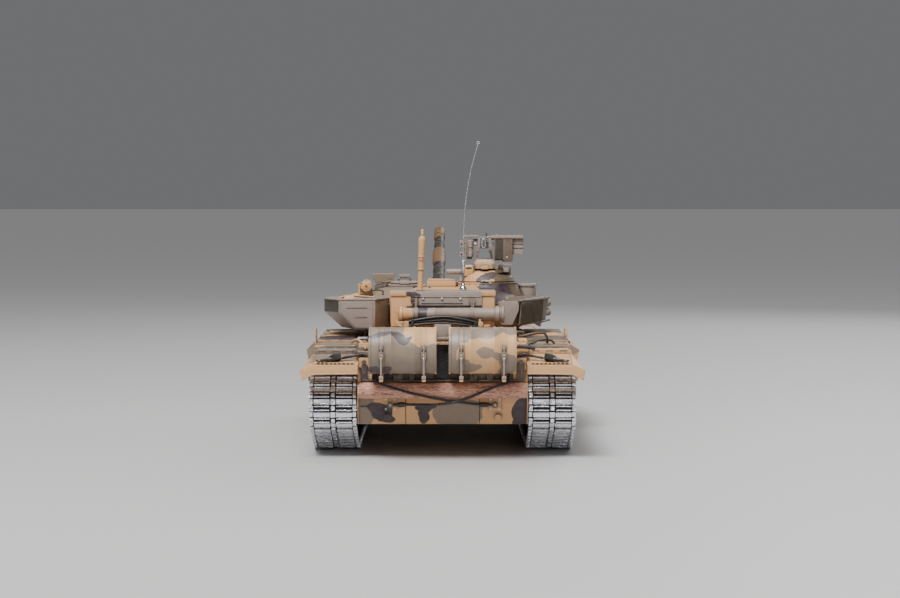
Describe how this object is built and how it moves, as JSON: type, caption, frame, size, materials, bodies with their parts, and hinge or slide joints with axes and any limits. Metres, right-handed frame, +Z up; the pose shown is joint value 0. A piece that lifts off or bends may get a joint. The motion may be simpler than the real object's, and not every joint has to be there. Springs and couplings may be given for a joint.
{
  "type": "radio controlled tank",
  "caption": "Model main battle tank with turning turret, elevating gun, sprung road wheels in metal tracks, stern fuel drums, tow cables, log and stowage",
  "frame": {"origin": "bottom centre of the bounding box, on the ground under the tracks", "axes": "+Y is forward, along the hull towards the muzzle; +X is the tank's right-hand side; +Z is up"},
  "size_m": [0.2394, 0.6206, 0.252],
  "materials": {
    "sand": "sand yellow paint with plum brown and olive grey patches, dusty and worn at the edges",
    "grey": "warm grey paint, dusty and worn at the edges",
    "olive": "dark olive brown paint, dusty",
    "dark": "near black, satin",
    "dark_metal": "black painted steel",
    "track": "bare cast light alloy, bright on the cleats, grimy between the links",
    "steel": "plain steel",
    "chrome": "polished",
    "rope": "black braided cord",
    "wood": "reddish bark with light cut ends",
    "board": "circuit board green",
    "cell": "shrink sleeve"
  },
  "bodies": {
    "hull": {"lower_hull": "grey", "upper_hull": "sand", "battery_cover": "grey", "battery_pack": "cell", "control_board": "board", "drive_unit": "steel", "unditching_log": "wood", "track_left": "track", "side_skirt_left": "grey", "fuel_drum_left": "sand", "tow_cable_left": "rope", "track_right": "track", "side_skirt_right": "grey", "fuel_drum_right": "sand", "tow_cable_right": "rope"},
    "switch": {"power_switch": "dark"},
    "turret": {"turret_shell": "sand", "rear_stowage_box": "sand", "side_bin_left": "grey", "side_bin_right": "olive", "snorkel_tube": "grey", "hose_bundle": "dark", "wind_sensor_mast": "sand", "antenna": "chrome", "smoke_launchers_left": "olive", "smoke_launchers_right": "olive"},
    "gun": {"gun_barrel": "olive", "gun_mantlet": "sand"},
    "cupola": {"commander_cupola": "sand"},
    "commander_lid": {"commander_hatch": "sand"},
    "gunner_lid": {"gunner_hatch": "grey"},
    "heavy_machine_gun": {"machine_gun": "dark"},
    "sprocket_left": {"drive_sprocket_left": "olive"},
    "idler_left": {"idler_wheel_left": "olive"},
    "arm_left_1": {"swing_arm_left_1": "dark_metal"},
    "wheel_left_1": {"road_wheel_left_1": "olive"},
    "arm_left_2": {"swing_arm_left_2": "dark_metal"},
    "wheel_left_2": {"road_wheel_left_2": "olive"},
    "arm_left_3": {"swing_arm_left_3": "dark_metal"},
    "wheel_left_3": {"road_wheel_left_3": "olive"},
    "arm_left_4": {"swing_arm_left_4": "dark_metal"},
    "wheel_left_4": {"road_wheel_left_4": "olive"},
    "arm_left_5": {"swing_arm_left_5": "dark_metal"},
    "wheel_left_5": {"road_wheel_left_5": "olive"},
    "arm_left_6": {"swing_arm_left_6": "dark_metal"},
    "wheel_left_6": {"road_wheel_left_6": "olive"},
    "sprocket_right": {"drive_sprocket_right": "olive"},
    "idler_right": {"idler_wheel_right": "olive"},
    "arm_right_1": {"swing_arm_right_1": "dark_metal"},
    "wheel_right_1": {"road_wheel_right_1": "olive"},
    "arm_right_2": {"swing_arm_right_2": "dark_metal"},
    "wheel_right_2": {"road_wheel_right_2": "olive"},
    "arm_right_3": {"swing_arm_right_3": "dark_metal"},
    "wheel_right_3": {"road_wheel_right_3": "olive"},
    "arm_right_4": {"swing_arm_right_4": "dark_metal"},
    "wheel_right_4": {"road_wheel_right_4": "olive"},
    "arm_right_5": {"swing_arm_right_5": "dark_metal"},
    "wheel_right_5": {"road_wheel_right_5": "olive"},
    "arm_right_6": {"swing_arm_right_6": "dark_metal"},
    "wheel_right_6": {"road_wheel_right_6": "olive"}
  },
  "joints": [
    {"name": "power_switch_slide", "type": "slide", "parent": "hull", "child": "switch", "axis": [0, -1, 0], "range_m": [0, 0.003]},
    {"name": "turret_traverse", "type": "hinge", "parent": "hull", "child": "turret", "pos_m": [0, -0.05592, 0.09], "axis": [0, 0, 1], "range_deg": [-160, 160]},
    {"name": "gun_elevation", "type": "hinge", "parent": "turret", "child": "gun", "pos_m": [-0.004, -0.00392, 0.115], "axis": [1, 0, 0], "range_deg": [-14.8, 6.2]},
    {"name": "cupola_rotation", "type": "hinge", "parent": "turret", "child": "cupola", "pos_m": [0.038, -0.06392, 0.1318], "axis": [0, 0, 1], "range_deg": [-120, 120]},
    {"name": "commander_hatch_hinge", "type": "hinge", "parent": "cupola", "child": "commander_lid", "pos_m": [0.0362, -0.08042, 0.143], "axis": [1, 0, 0], "range_deg": [0, 90]},
    {"name": "machine_gun_elevation", "type": "hinge", "parent": "cupola", "child": "heavy_machine_gun", "pos_m": [0.036, -0.04992, 0.1645], "axis": [1, 0, 0], "range_deg": [-8, 50]},
    {"name": "gunner_hatch_hinge", "type": "hinge", "parent": "turret", "child": "gunner_lid", "pos_m": [-0.033, -0.08442, 0.1303], "axis": [1, 0, 0], "range_deg": [0, 90]},
    {"name": "sprocket_spin_left", "type": "hinge", "parent": "hull", "child": "sprocket_left", "pos_m": [-0.08625, -0.24892, 0.042], "axis": [-1, 0, 0], "continuous": true},
    {"name": "idler_spin_left", "type": "hinge", "parent": "hull", "child": "idler_left", "pos_m": [-0.08625, 0.11908, 0.043], "axis": [-1, 0, 0], "continuous": true},
    {"name": "arm_swing_left_1", "type": "hinge", "parent": "hull", "child": "arm_left_1", "pos_m": [-0.0662, 0.08786, 0.03329], "axis": [-1, 0, 0], "range_deg": [0, 20], "stiffness_Nm_per_rad": 0.05, "springref_deg": -20.05},
    {"name": "wheel_spin_left_1", "type": "hinge", "parent": "arm_left_1", "child": "wheel_left_1", "pos_m": [-0.08625, 0.07608, 0.0278], "axis": [-1, 0, 0], "continuous": true},
    {"name": "arm_swing_left_2", "type": "hinge", "parent": "hull", "child": "arm_left_2", "pos_m": [-0.0662, 0.03446, 0.03329], "axis": [-1, 0, 0], "range_deg": [0, 20], "stiffness_Nm_per_rad": 0.05, "springref_deg": -20.05},
    {"name": "wheel_spin_left_2", "type": "hinge", "parent": "arm_left_2", "child": "wheel_left_2", "pos_m": [-0.08625, 0.02268, 0.0278], "axis": [-1, 0, 0], "continuous": true},
    {"name": "arm_swing_left_3", "type": "hinge", "parent": "hull", "child": "arm_left_3", "pos_m": [-0.0662, -0.01894, 0.03329], "axis": [-1, 0, 0], "range_deg": [0, 20], "stiffness_Nm_per_rad": 0.05, "springref_deg": -20.05},
    {"name": "wheel_spin_left_3", "type": "hinge", "parent": "arm_left_3", "child": "wheel_left_3", "pos_m": [-0.08625, -0.03072, 0.0278], "axis": [-1, 0, 0], "continuous": true},
    {"name": "arm_swing_left_4", "type": "hinge", "parent": "hull", "child": "arm_left_4", "pos_m": [-0.0662, -0.07234, 0.03329], "axis": [-1, 0, 0], "range_deg": [0, 20], "stiffness_Nm_per_rad": 0.05, "springref_deg": -20.05},
    {"name": "wheel_spin_left_4", "type": "hinge", "parent": "arm_left_4", "child": "wheel_left_4", "pos_m": [-0.08625, -0.08412, 0.0278], "axis": [-1, 0, 0], "continuous": true},
    {"name": "arm_swing_left_5", "type": "hinge", "parent": "hull", "child": "arm_left_5", "pos_m": [-0.0662, -0.12574, 0.03329], "axis": [-1, 0, 0], "range_deg": [0, 20], "stiffness_Nm_per_rad": 0.05, "springref_deg": -20.05},
    {"name": "wheel_spin_left_5", "type": "hinge", "parent": "arm_left_5", "child": "wheel_left_5", "pos_m": [-0.08625, -0.13752, 0.0278], "axis": [-1, 0, 0], "continuous": true},
    {"name": "arm_swing_left_6", "type": "hinge", "parent": "hull", "child": "arm_left_6", "pos_m": [-0.0662, -0.17914, 0.03329], "axis": [-1, 0, 0], "range_deg": [0, 20], "stiffness_Nm_per_rad": 0.05, "springref_deg": -20.05},
    {"name": "wheel_spin_left_6", "type": "hinge", "parent": "arm_left_6", "child": "wheel_left_6", "pos_m": [-0.08625, -0.19092, 0.0278], "axis": [-1, 0, 0], "continuous": true},
    {"name": "sprocket_spin_right", "type": "hinge", "parent": "hull", "child": "sprocket_right", "pos_m": [0.08625, -0.24892, 0.042], "axis": [-1, 0, 0], "continuous": true},
    {"name": "idler_spin_right", "type": "hinge", "parent": "hull", "child": "idler_right", "pos_m": [0.08625, 0.11908, 0.043], "axis": [-1, 0, 0], "continuous": true},
    {"name": "arm_swing_right_1", "type": "hinge", "parent": "hull", "child": "arm_right_1", "pos_m": [0.0662, 0.08786, 0.03329], "axis": [-1, 0, 0], "range_deg": [0, 20], "stiffness_Nm_per_rad": 0.05, "springref_deg": -20.05},
    {"name": "wheel_spin_right_1", "type": "hinge", "parent": "arm_right_1", "child": "wheel_right_1", "pos_m": [0.08625, 0.07608, 0.0278], "axis": [-1, 0, 0], "continuous": true},
    {"name": "arm_swing_right_2", "type": "hinge", "parent": "hull", "child": "arm_right_2", "pos_m": [0.0662, 0.03446, 0.03329], "axis": [-1, 0, 0], "range_deg": [0, 20], "stiffness_Nm_per_rad": 0.05, "springref_deg": -20.05},
    {"name": "wheel_spin_right_2", "type": "hinge", "parent": "arm_right_2", "child": "wheel_right_2", "pos_m": [0.08625, 0.02268, 0.0278], "axis": [-1, 0, 0], "continuous": true},
    {"name": "arm_swing_right_3", "type": "hinge", "parent": "hull", "child": "arm_right_3", "pos_m": [0.0662, -0.01894, 0.03329], "axis": [-1, 0, 0], "range_deg": [0, 20], "stiffness_Nm_per_rad": 0.05, "springref_deg": -20.05},
    {"name": "wheel_spin_right_3", "type": "hinge", "parent": "arm_right_3", "child": "wheel_right_3", "pos_m": [0.08625, -0.03072, 0.0278], "axis": [-1, 0, 0], "continuous": true},
    {"name": "arm_swing_right_4", "type": "hinge", "parent": "hull", "child": "arm_right_4", "pos_m": [0.0662, -0.07234, 0.03329], "axis": [-1, 0, 0], "range_deg": [0, 20], "stiffness_Nm_per_rad": 0.05, "springref_deg": -20.05},
    {"name": "wheel_spin_right_4", "type": "hinge", "parent": "arm_right_4", "child": "wheel_right_4", "pos_m": [0.08625, -0.08412, 0.0278], "axis": [-1, 0, 0], "continuous": true},
    {"name": "arm_swing_right_5", "type": "hinge", "parent": "hull", "child": "arm_right_5", "pos_m": [0.0662, -0.12574, 0.03329], "axis": [-1, 0, 0], "range_deg": [0, 20], "stiffness_Nm_per_rad": 0.05, "springref_deg": -20.05},
    {"name": "wheel_spin_right_5", "type": "hinge", "parent": "arm_right_5", "child": "wheel_right_5", "pos_m": [0.08625, -0.13752, 0.0278], "axis": [-1, 0, 0], "continuous": true},
    {"name": "arm_swing_right_6", "type": "hinge", "parent": "hull", "child": "arm_right_6", "pos_m": [0.0662, -0.17914, 0.03329], "axis": [-1, 0, 0], "range_deg": [0, 20], "stiffness_Nm_per_rad": 0.05, "springref_deg": -20.05},
    {"name": "wheel_spin_right_6", "type": "hinge", "parent": "arm_right_6", "child": "wheel_right_6", "pos_m": [0.08625, -0.19092, 0.0278], "axis": [-1, 0, 0], "continuous": true}
  ],
  "couplings": [
    {"joint": "idler_spin_left", "follows": "sprocket_spin_left", "ratio": 1.0582},
    {"joint": "wheel_spin_left_1", "follows": "sprocket_spin_left", "ratio": 0.783},
    {"joint": "wheel_spin_left_2", "follows": "sprocket_spin_left", "ratio": 0.783},
    {"joint": "wheel_spin_left_3", "follows": "sprocket_spin_left", "ratio": 0.783},
    {"joint": "wheel_spin_left_4", "follows": "sprocket_spin_left", "ratio": 0.783},
    {"joint": "wheel_spin_left_5", "follows": "sprocket_spin_left", "ratio": 0.783},
    {"joint": "wheel_spin_left_6", "follows": "sprocket_spin_left", "ratio": 0.783},
    {"joint": "idler_spin_right", "follows": "sprocket_spin_right", "ratio": 1.0582},
    {"joint": "wheel_spin_right_1", "follows": "sprocket_spin_right", "ratio": 0.783},
    {"joint": "wheel_spin_right_2", "follows": "sprocket_spin_right", "ratio": 0.783},
    {"joint": "wheel_spin_right_3", "follows": "sprocket_spin_right", "ratio": 0.783},
    {"joint": "wheel_spin_right_4", "follows": "sprocket_spin_right", "ratio": 0.783},
    {"joint": "wheel_spin_right_5", "follows": "sprocket_spin_right", "ratio": 0.783},
    {"joint": "wheel_spin_right_6", "follows": "sprocket_spin_right", "ratio": 0.783}
  ]
}
